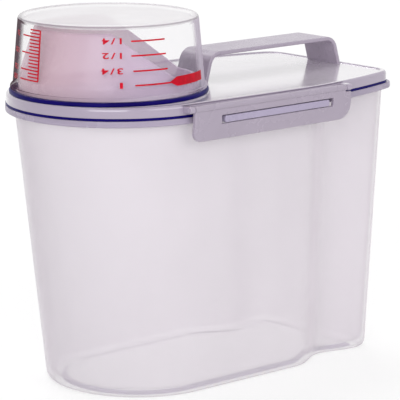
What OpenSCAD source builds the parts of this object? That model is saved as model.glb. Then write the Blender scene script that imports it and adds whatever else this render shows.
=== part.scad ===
// Rice bin with a clip-down lid, a carry handle and a measuring cup that caps the pour spout.
// Millimetres. +X runs along the bin to its handle end, +Z is up, and the origin is under the
// middle of the bin, on the surface it stands on.

/* [Container] */
// Length of the mouth flange, round end to handle end
flange_len = 218.4; // [205:0.2:235]
// Width of the mouth flange at its widest
flange_w = 123; // [120:0.5:130]
// How far each side of the mouth bows out beyond the round end's radius
flange_bow = 1.7; // [0.5:0.1:4]
// Thickness of the mouth flange
flange_t = 3.4; // [3:0.1:5]
// Distance from the handle end to the widest place of the mouth
widest_at = 87.5; // [80:0.5:100]
// How far each side of the mouth comes in over that distance
end_taper = 15.8; // [8:0.1:20]
// Radius of the mouth's corners at the handle end
mouth_corner_r = 13; // [10:0.5:16]
// Height from the standing surface to the top of the flange
body_h = 149.2; // [120:0.1:190]
// Wall thickness of the container
wall = 1.8; // [1.2:0.1:2.4]
// Thickness of the container's floor
floor_t = 2.2; // [1.6:0.1:4]
// How far the flange stands out from the wall at the sides and the round end
flange_overhang = 4.6; // [4:0.1:6]
// How far the flange stands out from the wall at the handle end
end_overhang = 6.2; // [6:0.1:8]
// How far the round end leans in from mouth to foot
round_lean = 18; // [8:0.5:22]
// How far each long side leans in from mouth to foot
side_lean = 5.3; // [3:0.1:8]
// How far the handle end leans in from mouth to foot
end_lean = 6; // [3:0.1:10]
// Radius of the container's corners at the handle end
wall_corner_r = 12; // [9:0.5:14]
// Depth of the hand grip pinched into each long side
grip_depth = 11; // [4:0.5:14]
// Distance from the handle end to the start of the hand grip
grip_start = 75.5; // [70:0.5:85]
// Distance from the handle end to the deepest place of the hand grip
grip_mid = 47.5; // [40:0.5:55]
// How far the wall comes out again beyond the deepest place
grip_return = 4.5; // [0:0.5:8]
// Height of the foot rim under the floor
foot_h = 1.6; // [0.8:0.1:3]
// Width of the foot rim
foot_w = 3.5; // [2:0.5:6]
// Radius of the rounded edge round the foot
foot_fillet = 4; // [3:0.5:6]

/* [Lid] */
// How far the lid stops short of the flange at the handle end
lid_setback = 4; // [2:0.5:6]
// How far the lid's edge is set in from the flange elsewhere
lid_inset = 0.4; // [0.3:0.1:0.8]
// Height of the lid's outer skirt below its shoulder
skirt_h = 3.7; // [3:0.1:5]
// Thickness of the lid's skirt where it bears on the seal
skirt_t = 2.4; // [2:0.1:3]
// Height of the rounded shoulder between the skirt and the top bead
shoulder_h = 1.9; // [1.4:0.1:2.6]
// How far the shoulder comes in
shoulder_in = 1.6; // [1:0.1:2.5]
// Width of the top bead
bead_w = 1.4; // [1:0.1:3]
// Height of the top bead above the lid's flat panel
bead_h = 0.6; // [0.3:0.1:1]
// Thickness of the lid's flat panel
panel_t = 2; // [1.6:0.1:3]
// Depth of the locating wall inside the container's mouth
plug_h = 4; // [2:0.5:8]
// Thickness of the locating wall
plug_t = 1.4; // [1:0.1:2]

/* [Spout and cup] */
// How much smaller the spout seal's radius is than the mouth's round end
seal_margin = 7.9; // [7:0.1:14]
// How far the spout's seat lies inside the lid's round edge
seat_inset = 0.3; // [0.1:0.1:2]
// Wall thickness of the pour spout
spout_wall = 1.8; // [1.2:0.1:3]
// Gap between the spout's neck and the cup's wall at its rim
neck_gap = 1.4; // [1:0.1:3]
// Height of the spout's straight neck above its seat
neck_h = 8.4; // [5:0.1:12]
// Height of the spout's tall side above its seat
spout_h = 35.1; // [20:0.1:36]
// How far the spout leans in above its neck
spout_lean = 9; // [7:0.1:12]
// Slope of the spout's slanted mouth
spout_slope = 36; // [25:1:40]
// How far the mouth's low side lies below the top of the neck
mouth_drop = 0.8; // [0.3:0.1:3]
// Direction that the spout's tall side faces, from the handle end
spout_turn = 143; // [0:1:180]
// How far the spout's collar stands out from its neck
collar_out = 1.2; // [0.8:0.1:1.2]
// Thickness of that collar
collar_t = 0.8; // [0.5:0.1:1.2]
// Thickness of the spout seal
seal_t = 2.1; // [1.6:0.1:3]
// Width of the bevels on the spout seal's outer edges
seal_bevel = 0.6; // [0.3:0.1:0.8]
// How far the spout seal stands out from the cup's wall
seal_ledge = 1.7; // [1.4:0.1:2.4]
// How far the cup's wall leans in from its rim to its closed end
cup_lean = 3.5; // [2:0.1:6]
// Height of the cup from rim to closed end
cup_h = 38; // [30:0.5:60]
// Wall thickness of the cup
cup_wall = 1.6; // [1.2:0.1:2]
// Radius of the rounded edge round the cup's closed end
cup_edge_r = 2.3; // [1.5:0.1:3]
// Thickness of the cup's rim flange
cup_rim_t = 1.8; // [1.2:0.1:2.5]
// How far the rim flange stands out from the cup's wall
cup_rim_out = 1.1; // [0.6:0.1:1.3]
// Depth of the shallow recess in the cup's closed end
cup_recess = 0.5; // [0.3:0.1:0.8]
// Width of the raised ring round that recess
cup_ring_w = 3.7; // [3.2:0.1:6]

/* [Handle] */
// Gap between the handle's inner foot and the spout seal
handle_gap = 4.1; // [4:0.1:20]
// Height of the handle above the lid's panel
handle_h = 16; // [14:0.5:30]
// Width of the handle's strap
handle_w = 24.6; // [18:0.2:28]
// Thickness of the handle's strap
strap_t = 2.2; // [1.8:0.1:3.5]
// Radius of the handle's outer corners
handle_r = 8; // [5:0.5:10]
// Lean of the handle's legs
leg_lean = 16; // [2:1:20]
// Gap between the handle's outer foot and the edge of the lid
handle_inset = 5; // [3.8:0.1:6]
// Width of the tongue that holds each foot in the lid
tongue_w = 14; // [8:1:16]
// Depth of that tongue
tongue_h = 1.4; // [0.8:0.1:1.5]

/* [Latches] */
// Length of each latch
latch_len = 110.2; // [100:0.2:114]
// Height of each latch below its hinge axis
latch_h = 17.2; // [17:0.1:24]
// Thickness of each latch
latch_t = 2.2; // [1.9:0.1:2.6]
// Radius of each latch's lower corner at the round end
latch_corner_r = 5.5; // [2:0.5:6]
// Radius of each latch's lower corner at the handle end
latch_end_r = 9; // [6:0.5:10]
// Position of the latch's middle along the bin
latch_mid_x = 2.2; // [-1:0.1:3]
// Gap between each latch and the flange's widest place
latch_gap = 0.4; // [0.3:0.1:0.8]
// Length of the locking slot
slot_len = 79; // [60:1:90]
// Height of the locking slot
slot_h = 4.4; // [3.7:0.1:5]
// How far the locking slot's middle lies beyond the latch's middle
slot_shift = 2.6; // [-4:0.1:6]
// Radius of the hinge barrel
barrel_r = 1.7; // [1.6:0.05:1.8]
// Radius of the hinge rod
rod_r = 0.9; // [0.7:0.05:1]
// How far the hinge axis lies outside the middle of the latch
hinge_out = 0.3; // [0.2:0.1:0.4]
// How far the hinge axis lies below the lid's top bead
hinge_drop = 2.5; // [2:0.1:3]
// Width of each ear that holds the hinge rod
ear_w = 3.6; // [3:0.1:5]
// Height of the container's locking rib
rib_h = 2.8; // [2:0.1:3]
// How far the locking rib reaches below the flange
rib_drop = 1.2; // [0.8:0.1:1.4]
// Gap between the locking rib and each end of the slot
rib_side_gap = 2.5; // [1:0.5:6]
// How far the locking rib stops short of the latch's outer face
rib_inset = 0.5; // [0.4:0.1:1]

/* [Seal and fits] */
// Thickness of the lid seal
gasket_t = 1.1; // [0.8:0.1:1.6]
// How far the lid seal is set in from the edge of the lid
gasket_inset = 0.5; // [0:0.1:0.8]
// Width of the lid seal
gasket_w = 3.4; // [3:0.1:3.6]
// Clearance between parts that move past each other
run_gap = 0.3; // [0.2:0.05:0.4]
// Radial clearance of the hinge rod
rod_gap = 0.05; // [0.02:0.01:0.09]
// Clearance of the lid's locating wall in the mouth
plug_gap = 0.4; // [0.3:0.1:0.6]
// Clearance of the spout in the lid and of the seal round the spout
seal_gap = 0.1; // [0.05:0.05:0.3]

/* [Hidden] */

$fn = 96;
rod_fn = 48;
// Overlap that lets a cut run clear of the face it starts at
over = 1;
corner_steps = 8;
side_steps = 14;
round_steps = 18;
fillet_steps = 4;

// Mouth outline
flange_hw = flange_w / 2;
flange_x1 = flange_len / 2;
flange_r = flange_hw - flange_bow;
round_x = flange_r - flange_x1;
widest_x = flange_x1 - widest_at;
mouth_corner_a = 75;
lid_x1 = flange_x1 - lid_setback;

// Container outline, at the mouth and at the foot
top_r = flange_r - flange_overhang;
foot_r = top_r - side_lean;
top_x1 = flange_x1 - end_overhang;
foot_x1 = top_x1 - end_lean;
foot_round_x = round_x + round_lean - side_lean;
grip_start_x = flange_x1 - grip_start;
grip_mid_x = flange_x1 - grip_mid;

// Stack of levels
flange_z = body_h - flange_t;
lid_z = body_h + gasket_t;
shoulder_z = lid_z + skirt_h;
bead_z = shoulder_z + shoulder_h;
panel_z = bead_z - bead_h;
under_z = panel_z - panel_t;
cup_z = bead_z + seal_t + run_gap;

// Latches and their hinges
latch_y = flange_hw + latch_gap;
hinge_y = latch_y + latch_t / 2 + hinge_out;
hinge_z = bead_z - hinge_drop;
latch_x0 = latch_mid_x - latch_len / 2;
latch_x1 = latch_mid_x + latch_len / 2;
barrel_x1 = latch_x1 - ear_w - run_gap;
ear_near_x = latch_x0 - run_gap - ear_w;
ear_far_x = latch_x1 - ear_w;
rib_z = flange_z - rib_drop;
rib_y = latch_y + latch_t - rib_inset;
rib_len = slot_len - 2 * rib_side_gap;
slot_mid_x = latch_mid_x + slot_shift;
slot_z = rib_z - run_gap;

// Spout, cup and handle
seal_r = flange_r - seal_margin;
spout_x = seal_r + seat_inset + lid_inset - flange_x1;
cup_r = seal_r - seal_ledge;
cup_top_r = cup_r - cup_lean;
neck_r = cup_r - cup_wall - neck_gap;
handle_x0 = spout_x + seal_r + handle_gap;
handle_x1 = lid_x1 - handle_inset;
foot_x = [handle_x0, handle_x1 - strap_t];

function mix(a, b, t) = a + (b - a) * t;
function ease(t) = (1 - cos(180 * t)) / 2;
function lift(outline, z) = [for (p = outline) [p[0], p[1], z]];
function arc(cx, cy, r, a0, a1, n) =
    [for (i = [0:n]) let (a = mix(a0, a1, i / n)) [cx + r * cos(a), cy + r * sin(a)]];
// Closed outline from its +Y half, which runs from the +X end to the -X end
function mirrored(half) =
    concat(half, [for (i = [len(half) - 2:-1:0]) [half[i][0], -half[i][1]]]);

// Half width of the mouth at x: a long shallow bow to the widest place, a tighter one beyond it
function mouth_hw(x) =
    flange_hw - (x < widest_x ? flange_bow * pow((x - widest_x) / (round_x - widest_x), 2)
                              : end_taper * pow((x - widest_x) / widest_at, 2));
// Outline of the mouth flange or the lid, from the end at x1, set in by d
function mouth_outline(x1, d) =
    let (r = mouth_corner_r, a = mouth_corner_a, cx = x1 - r, xs = cx + r * cos(a),
         cy = mouth_hw(xs) - r * sin(a))
    mirrored(concat(
        arc(cx, cy, r - d, 0, a, corner_steps),
        [for (i = [1:side_steps]) let (x = mix(xs, round_x, i / (side_steps + 1)))
            [x, mouth_hw(x) - d]],
        arc(round_x, 0, flange_r - d, 90, 180, round_steps)));
function lid_outline(d) = mouth_outline(lid_x1 + lid_inset, lid_inset + d);

// Half width of the container at x, for a side at half width w that ends at x1
function grip_hw(x, w, x1) =
    x < grip_start_x ? w
    : x < grip_mid_x ? w - grip_depth * ease((x - grip_start_x) / (grip_mid_x - grip_start_x))
    : w - grip_depth + grip_return * ease(min(1, (x - grip_mid_x) / (x1 - grip_mid_x)));
// Outline of the container at height z, set in by d
function wall_outline(z, d) =
    let (t = z / body_h, w = mix(foot_r, top_r, t), cx0 = mix(foot_round_x, round_x, t),
         r = wall_corner_r, cx = mix(foot_x1, top_x1, t) - r, cy = grip_hw(cx, w, cx) - r)
    mirrored(concat(
        arc(cx, cy, r - d, 0, 90, corner_steps),
        [for (i = [1:2 * side_steps]) let (x = mix(cx, cx0, i / (2 * side_steps + 1)))
            [x, grip_hw(x, w, cx) - d]],
        arc(cx0, 0, w - d, 90, 180, round_steps)));
function wall_ring(z, d) = lift(wall_outline(z, d), z);
// Rings of the quarter-round edge between a floor at z0 and the wall set in by d
function edge_rings(z0, d) =
    [for (i = [0:fillet_steps]) let (a = 90 * i / fillet_steps, z1 = z0 + foot_fillet)
        lift(wall_outline(z1, d + foot_fillet * (1 - sin(a))), z1 - foot_fillet * cos(a))];
function reversed(v) = [for (i = [len(v) - 1:-1:0]) v[i]];

// Solid skinned over a list of rings with the same number of points, flat at both ends
module loft(rings) {
    n = len(rings[0]);
    m = len(rings);
    polyhedron(
        points = [for (r = rings) for (p = r) p],
        faces = concat(
            [[for (i = [0:n - 1]) i]],
            [for (k = [0:m - 2]) for (i = [0:n - 1]) let (j = (i + 1) % n, a = k * n, b = a + n)
                each [[a + i, b + i, b + j], [a + i, b + j, a + j]]],
            [[for (i = [n - 1:-1:0]) (m - 1) * n + i]]),
        convexity = 8);
}

module slab(outline, z0, z1) {
    translate([0, 0, z0]) linear_extrude(z1 - z0) polygon(outline);
}

module tube_x(r, x0, x1) {
    translate([x0, 0, 0]) rotate([0, 90, 0]) cylinder(r = r, h = x1 - x0, $fn = rod_fn);
}

// The children at +Y and again, mirrored, at -Y
module both_sides() {
    children();
    mirror([0, 1, 0]) children();
}

// Hinge axis at +Y, for the children drawn round the X axis
module at_hinge() {
    translate([0, hinge_y, hinge_z]) children();
}

module container_body() {
    rim_in = foot_fillet + foot_w;
    color([0.88, 0.86, 0.89, 0.6]) {
        loft(concat(
            [wall_ring(foot_h, rim_in + foot_h / 2), wall_ring(0, rim_in)],
            edge_rings(0, 0),
            [wall_ring(body_h, 0), wall_ring(body_h, wall)],
            reversed(edge_rings(foot_h + floor_t, wall))));
        difference() {
            slab(mouth_outline(flange_x1, 0), flange_z, body_h);
            slab(wall_outline(body_h, wall / 2), flange_z - over, body_h + over);
        }
        both_sides() lock_rib();
    }
}

// Rib under a long side of the flange that a latch hooks under
module lock_rib() {
    root = flange_hw - flange_overhang;
    translate([slot_mid_x - rib_len / 2, root, rib_z]) cube([rib_len, rib_y - root, rib_h]);
}

module lid() {
    in = shoulder_in + bead_w;
    color([0.93, 0.92, 0.95, 0.7]) difference() {
        union() {
            loft(concat(
                [lift(lid_outline(skirt_t), under_z), lift(lid_outline(skirt_t), lid_z),
                 lift(lid_outline(0), lid_z)],
                [for (a = [0:22.5:90])
                    lift(lid_outline(shoulder_in * (1 - cos(a))), shoulder_z + shoulder_h * sin(a))],
                [lift(lid_outline(in), bead_z), lift(lid_outline(in + bead_h), panel_z)]));
            translate([spout_x, 0, under_z]) cylinder(r = seal_r, h = bead_z - under_z);
            locating_wall();
            both_sides() for (x = [ear_near_x, ear_far_x]) ear(x);
        }
        translate([spout_x, 0, body_h - plug_h - over])
            cylinder(r = neck_r + seal_gap, h = bead_z - body_h + plug_h + 2 * over);
        both_sides() at_hinge() tube_x(rod_r + rod_gap, ear_near_x - over, latch_x1 + over);
        foot_tongues(over);
    }
}

// Wall under the lid that keeps it centred in the container's mouth
module locating_wall() {
    low = body_h - plug_h;
    out = wall + plug_gap;
    difference() {
        slab(wall_outline(low, out), low, panel_z - panel_t / 2);
        slab(wall_outline(low, out + plug_t), low - over, under_z);
    }
}

// Ear on the lid's edge that holds one end of a hinge rod, at x along the bin
module ear(x) {
    root = mouth_hw(latch_x1) - lid_inset - skirt_t;
    at_hinge() tube_x(barrel_r, x, x + ear_w);
    translate([x, root, hinge_z - barrel_r]) cube([ear_w, hinge_y - root, 2 * barrel_r]);
}

module lid_seal() {
    color([0.05, 0.03, 0.38]) difference() {
        slab(lid_outline(gasket_inset), body_h, lid_z);
        slab(lid_outline(gasket_inset + gasket_w), body_h - over, lid_z + over);
    }
}

// Tapered spout with a slanted mouth, tall on the side that the rice runs along
module pour_spout() {
    in_r = neck_r - spout_wall;
    collar_r = neck_r + collar_out;
    low = neck_h - mouth_drop;
    top = spout_h + over;
    far = neck_r + over;
    color([0.93, 0.92, 0.95, 0.7]) translate([spout_x, 0, bead_z]) difference() {
        rotate_extrude() polygon([
            [in_r, under_z - bead_z], [neck_r, under_z - bead_z], [neck_r, 0], [collar_r, 0],
            [collar_r, collar_t], [neck_r, collar_t], [neck_r, neck_h],
            [neck_r - spout_lean, spout_h], [in_r - spout_lean, spout_h], [in_r, neck_h]]);
        rotate([0, 0, spout_turn]) translate([0, far, 0]) rotate([90, 0, 0])
            linear_extrude(2 * far) polygon([
                [over / tan(spout_slope), top], [(low - spout_h) / tan(spout_slope), low],
                [-far, low], [-far, top]]);
    }
}

module spout_seal() {
    in = neck_r + collar_out + seal_gap;
    out = seal_r - seal_bevel;
    color([0.05, 0.03, 0.38]) translate([spout_x, 0, bead_z]) rotate_extrude()
        polygon([[in, 0], [out, 0], [seal_r, seal_bevel], [seal_r, seal_t - seal_bevel],
                 [out, seal_t], [in, seal_t]]);
}

// The cup stands upside down on the spout
module measuring_cup() {
    in_r = cup_r - cup_wall;
    in_top_r = cup_top_r - cup_wall;
    rim_r = cup_r + cup_rim_out;
    floor_z = cup_h - cup_recess;
    ring_r = cup_top_r - cup_ring_w;
    edge_a = atan((cup_r - cup_top_r) / cup_h);
    color([0.94, 0.92, 0.95, 0.35]) translate([spout_x, 0, cup_z]) rotate_extrude() polygon(concat(
        [[in_r, 0], [rim_r, 0], [rim_r, cup_rim_t], [cup_r, cup_rim_t]],
        arc(cup_top_r - cup_edge_r, cup_h - cup_edge_r, cup_edge_r, edge_a, 90, 6),
        [[ring_r, cup_h], [ring_r - cup_recess, floor_z], [0, floor_z], [0, floor_z - cup_wall],
         [in_top_r - cup_wall, floor_z - cup_wall], [in_top_r, floor_z - 2 * cup_wall]]));
}

// Outline of the handle's side from z = 0, set in by d
function handle_side(d) =
    let (foot = (handle_x1 - handle_x0) / 2 - d / cos(leg_lean), h = handle_h - d, r = handle_r - d,
         cx = foot - h * tan(leg_lean) - r * tan(45 - leg_lean / 2),
         half = concat([[foot, 0]], arc(cx, h - r, r, leg_lean, 90, corner_steps)))
    concat(half, [for (p = reversed(half)) [-p[0], p[1]]]);

// Tongues under the handle's two feet, or, with extra length, the pockets for them
module foot_tongues(extra) {
    for (x = foot_x) translate([x, -tongue_w / 2, panel_z - tongue_h])
        cube([strap_t, tongue_w, tongue_h + extra]);
}

module carry_handle() {
    color([0.72, 0.69, 0.75]) {
        translate([(handle_x0 + handle_x1) / 2, handle_w / 2, panel_z]) rotate([90, 0, 0])
            linear_extrude(handle_w) difference() {
                polygon(handle_side(0));
                translate([0, -0.01]) polygon(handle_side(strap_t));
            }
        foot_tongues(0.01);
    }
}

// Latch drawn at the +Y side
module latch() {
    low = hinge_z - latch_h;
    corners = [[latch_x0 + latch_corner_r, latch_corner_r], [latch_x1 - latch_end_r, latch_end_r]];
    notch = barrel_r + 2 * run_gap;
    color([0.70, 0.67, 0.73]) difference() {
        union() {
            at_hinge() tube_x(barrel_r, latch_x0, barrel_x1);
            translate([0, latch_y + latch_t, 0]) rotate([90, 0, 0]) linear_extrude(latch_t) {
                translate([latch_x0, low + latch_end_r])
                    square([barrel_x1 - latch_x0, latch_h - latch_end_r]);
                translate([latch_x0, low + latch_end_r])
                    square([latch_len, latch_h - latch_end_r - notch]);
                translate([latch_x0, low + latch_corner_r])
                    square([latch_len - latch_end_r, latch_end_r]);
                translate([latch_x0 + latch_corner_r, low])
                    square([latch_len - latch_corner_r - latch_end_r, latch_end_r]);
                for (c = corners) translate([c[0], low + c[1]]) intersection() {
                    circle(r = c[1]);
                    translate([-c[1], -c[1]]) square([2 * c[1], c[1] + over]);
                }
            }
        }
        translate([slot_mid_x - slot_len / 2, latch_y - over, slot_z])
            cube([slot_len, latch_t + 2 * over, slot_h]);
        at_hinge() tube_x(rod_r + rod_gap, latch_x0 - over, latch_x1 + over);
    }
}

module near_latch() { mirror([0, 1, 0]) latch(); }
module far_latch() { latch(); }

module hinge_rod() {
    color([0.80, 0.78, 0.82]) at_hinge() tube_x(rod_r, ear_near_x, latch_x1);
}

module near_hinge_rod() { mirror([0, 1, 0]) hinge_rod(); }
module far_hinge_rod() { hinge_rod(); }

container_body();
lid();
lid_seal();
pour_spout();
spout_seal();
measuring_cup();
carry_handle();
near_latch();
far_latch();
near_hinge_rod();
far_hinge_rod();
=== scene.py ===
"""Rice bin with a clip-down lid, a carry handle and a measuring cup that caps the pour spout.

Metres. +X runs along the bin to its handle end, the near latch is at -Y, +Z is up.
"""

from math import atan2, copysign, cos, degrees, pi, radians, sin, tan

import bmesh
import bpy
from bpy.props import FloatProperty, FloatVectorProperty, PointerProperty
from mathutils import Matrix, Vector


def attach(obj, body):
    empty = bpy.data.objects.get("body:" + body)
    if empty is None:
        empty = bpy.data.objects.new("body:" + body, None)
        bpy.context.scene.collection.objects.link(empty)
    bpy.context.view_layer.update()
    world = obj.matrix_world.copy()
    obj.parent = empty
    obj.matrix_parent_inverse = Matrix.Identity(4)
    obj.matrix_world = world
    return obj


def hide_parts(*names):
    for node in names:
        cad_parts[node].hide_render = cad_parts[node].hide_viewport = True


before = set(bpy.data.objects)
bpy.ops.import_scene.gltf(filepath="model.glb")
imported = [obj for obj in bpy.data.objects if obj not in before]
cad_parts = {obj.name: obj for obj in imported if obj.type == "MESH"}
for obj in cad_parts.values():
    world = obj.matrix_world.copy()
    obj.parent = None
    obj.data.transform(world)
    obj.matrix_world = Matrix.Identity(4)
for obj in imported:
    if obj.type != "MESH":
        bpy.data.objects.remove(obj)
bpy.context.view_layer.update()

bl_info = {
    "name": "Rice bin",
    "version": (1, 0, 0),
    "blender": (4, 5, 0),
    "location": "3D View > Sidebar > Rice Bin",
    "description": "Builds a rice bin with its lid, latches, spout, cup and handle",
    "category": "Object",
}

MM = 0.001


# --- Sizes and colours ---

def length(name, description, millimetres):
    """A size of the bin, kept in metres."""
    return FloatProperty(name=name, description=description, default=millimetres * MM,
                         min=0.0, unit="LENGTH", precision=4)


def angle(name, description, turn):
    """An angle of the bin; turn is in degrees."""
    return FloatProperty(name=name, description=description, default=radians(turn),
                         subtype="ANGLE")


def tint(name, description, rgb):
    """A colour of the bin."""
    return FloatVectorProperty(name=name, description=description, default=rgb, size=3,
                               min=0.0, max=1.0, subtype="COLOR")


class BinSizes(bpy.types.PropertyGroup):
    """Sizes of the bin's pieces"""
    flange_len: length("Flange length", "Length of the mouth flange", 218.4)
    flange_w: length("Flange width", "Width of the mouth flange at its widest", 123)
    flange_bow: length("Flange bow", "How far each side of the mouth bows out", 1.7)
    flange_t: length("Flange thickness", "Thickness of the mouth flange", 3.4)
    widest_at: length("Widest place", "Distance from the handle end to the widest place", 87.5)
    end_taper: length("End taper", "How far each side comes in over that distance", 15.8)
    mouth_corner_r: length("Mouth corner", "Radius of the mouth's corners", 13)
    body_h: length("Body height", "Height of the top of the flange", 149.2)
    wall: length("Wall", "Wall thickness of the container", 1.8)
    floor_t: length("Floor", "Thickness of the container's floor", 2.2)
    flange_overhang: length("Flange overhang", "Flange beyond the wall at the sides", 4.6)
    end_overhang: length("End overhang", "Flange beyond the wall at the handle end", 6.2)
    round_lean: length("Round end lean", "How far the round end leans in", 18)
    side_lean: length("Side lean", "How far each long side leans in", 5.3)
    end_lean: length("Handle end lean", "How far the handle end leans in", 6)
    wall_corner_r: length("Wall corner", "Radius of the container's corners", 12)
    grip_depth: length("Grip depth", "Depth of the pinched hand grip", 11)
    grip_start: length("Grip start", "Distance from the handle end to the grip's start", 75.5)
    grip_mid: length("Grip middle", "Distance from the handle end to the deepest place", 47.5)
    grip_return: length("Grip return", "How far the wall comes out again beyond it", 4.5)
    foot_h: length("Foot height", "Height of the foot rim", 1.6)
    foot_w: length("Foot width", "Width of the foot rim", 3.5)
    foot_fillet: length("Foot edge", "Radius of the rounded edge round the foot", 4)
    lid_setback: length("Lid setback", "How far the lid stops short at the handle end", 4)
    lid_inset: length("Lid inset", "How far the lid is set in elsewhere", 0.4)
    skirt_h: length("Skirt height", "Height of the lid's skirt", 3.7)
    skirt_t: length("Skirt thickness", "Thickness of the lid's skirt", 2.4)
    shoulder_h: length("Shoulder height", "Height of the lid's rounded shoulder", 1.9)
    shoulder_in: length("Shoulder width", "How far the shoulder comes in", 1.6)
    groove_w: length("Groove width", "Width of the groove along the hinges", 0.5)
    groove_depth: length("Groove depth", "Depth of that groove", 0.9)
    bead_w: length("Bead width", "Width of the lid's top bead", 1.4)
    bead_h: length("Bead height", "Height of the bead above the panel", 0.6)
    panel_t: length("Panel thickness", "Thickness of the lid's panel", 2)
    plug_h: length("Locating wall", "Depth of the lid's locating wall", 4)
    plug_t: length("Locating wall thickness", "Thickness of that wall", 1.4)
    seal_margin: length("Seal margin", "Round end's radius less the spout seal's", 7.9)
    seat_inset: length("Seat inset", "How far the spout's seat lies inside the lid", 0.3)
    spout_wall: length("Spout wall", "Wall thickness of the pour spout", 1.8)
    neck_gap: length("Neck gap", "Gap between the spout and the cup's wall", 1.4)
    neck_h: length("Neck height", "Height of the spout's straight neck", 8.4)
    spout_h: length("Spout height", "Height of the spout's tall side", 35.1)
    spout_lean: length("Spout lean", "How far the spout leans in above its neck", 9)
    spout_slope: angle("Mouth slope", "Slope of the spout's slanted mouth", 36)
    mouth_drop: length("Mouth drop", "How far the mouth's low side lies below the neck", 0.8)
    spout_turn: angle("Spout turn", "Direction that the spout's tall side faces", 143)
    collar_out: length("Collar width", "How far the spout's collar stands out", 1.2)
    collar_t: length("Collar thickness", "Thickness of that collar", 0.8)
    seal_t: length("Spout seal", "Thickness of the spout seal", 2.1)
    seal_bevel: length("Seal edge", "Radius of the spout seal's edges", 0.6)
    seal_ledge: length("Seal ledge", "How far the seal stands out from the cup", 1.7)
    cup_lean: length("Cup lean", "How far the cup's wall leans in", 3.5)
    cup_h: length("Cup height", "Height of the cup", 38)
    cup_wall: length("Cup wall", "Wall thickness of the cup", 1.6)
    cup_edge_r: length("Cup edge", "Radius of the edge round the cup's closed end", 2.3)
    cup_rim_t: length("Cup rim", "Thickness of the cup's rim flange", 1.8)
    cup_rim_out: length("Cup rim width", "How far the rim flange stands out", 1.1)
    cup_recess: length("Cup recess", "Depth of the recess in the closed end", 0.5)
    cup_ring_w: length("Cup ring", "Width of the ring round that recess", 3.7)
    handle_gap: length("Handle gap", "Gap between the handle and the spout seal", 4.1)
    handle_h: length("Handle height", "Height of the handle above the panel", 16)
    handle_w: length("Handle width", "Width of the handle's strap", 24.6)
    strap_t: length("Strap thickness", "Thickness of the handle's strap", 2.2)
    handle_r: length("Handle corner", "Radius of the handle's outer corners", 8)
    leg_lean: angle("Leg lean", "Lean of the handle's legs", 16)
    handle_inset: length("Handle inset", "Gap between the handle and the lid's edge", 5)
    latch_len: length("Latch length", "Length of each latch", 110.2)
    latch_h: length("Latch height", "Height of each latch below its hinge", 17.2)
    latch_t: length("Latch thickness", "Thickness of each latch", 2.2)
    latch_corner_r: length("Latch corner", "Lower corner radius at the round end", 5.5)
    latch_end_r: length("Latch end corner", "Lower corner radius at the handle end", 9)
    latch_mid_x: length("Latch middle", "Position of the latch's middle along the bin", 2.2)
    latch_tuck: length("Latch tuck", "How far a latch's lower edge bends in", 1.6)
    latch_gap: length("Latch gap", "Gap between each latch and the flange", 0.4)
    slot_len: length("Slot length", "Length of the locking slot", 79)
    slot_h: length("Slot height", "Height of the locking slot", 4.4)
    slot_shift: length("Slot shift", "How far the slot lies beyond the latch's middle", 2.6)
    barrel_r: length("Barrel radius", "Radius of the hinge barrel", 1.7)
    hinge_out: length("Hinge offset", "How far the hinge lies outside the latch's middle", 0.3)
    hinge_drop: length("Hinge drop", "How far the hinge lies below the bead", 2.5)
    ear_w: length("Ear width", "Width of each hinge ear", 3.6)
    rib_h: length("Rib height", "Height of the locking rib", 3.6)
    rib_drop: length("Rib drop", "How far the rib reaches below the flange", 1.2)
    rib_side_gap: length("Rib gap", "Gap between the rib and each end of the slot", 2.5)
    rib_inset: length("Rib inset", "How far the rib stops short of the latch's face", 0.5)
    gasket_t: length("Lid seal", "Thickness of the lid seal", 1.1)
    run_gap: length("Running gap", "Clearance between moving parts", 0.3)
    plug_gap: length("Locating gap", "Clearance of the locating wall", 0.4)
    seal_gap: length("Seal gap", "Clearance of the spout in the lid", 0.1)
    tick_pitch: length("Scale pitch", "Distance between two marks of the scale", 1.707)
    ink_lift: length("Ink lift", "Height of the ink above the cup's wall", 0.05)


class BinColours(bpy.types.PropertyGroup):
    """Colours of the bin's pieces"""
    container: tint("Container", "Milky plastic of the container", (0.88, 0.82, 0.88))
    foot: tint("Foot", "Lilac tinge of the step inside the foot rim", (0.36, 0.27, 0.48))
    flange: tint("Flange", "Thick rim of the container", (0.42, 0.36, 0.48))
    rib: tint("Locking ribs", "Plastic of the ribs in the latches' slots", (0.42, 0.37, 0.51))
    # The lid is one plastic in two copies: lid is its painted shade on the skirt, shoulder and
    # other sides, panel its painted light on the level top
    lid: tint("Lid", "Pale plastic of the lid", (0.38, 0.32, 0.42))
    panel: tint("Lid panel", "Thin plastic of the lid's panel", (0.68, 0.635, 0.69))
    spout: tint("Spout", "Plastic of the pour spout", (0.70, 0.56, 0.73))
    spout_rosy: tint("Rosy spout", "Rosier tint of the spout's tall side", (0.86, 0.63, 0.72))
    cup: tint("Cup", "Clear plastic of the cup, as its edges show it", (0.66, 0.60, 0.70))
    # Painted shade: the cup darkens towards this colour on its side towards the scale
    cup_shaded_side: tint("Deep cup", "Deeper tint of the cup's scale side", (0.07, 0.025, 0.045))
    # Painted light: the level faces of the cup's closed end are made pale and half opaque
    cup_end: tint("Cup end", "Clear plastic of the cup's closed end", (0.86, 0.83, 0.86))
    # Painted shade: the rounded edge round the cup's closed end is made dark
    cup_edge: tint("Cup edge", "Clear plastic along the cup's outer edge", (0.30, 0.26, 0.30))
    clasp: tint("Handle and latches", "Lilac plastic of the handle and the latches",
                (0.40, 0.345, 0.43))
    seal: tint("Seals", "Blue silicone of the seals", (0.006, 0.002, 0.11))
    ink: tint("Print", "Red ink on the cup", (0.56, 0.004, 0.02))


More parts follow.
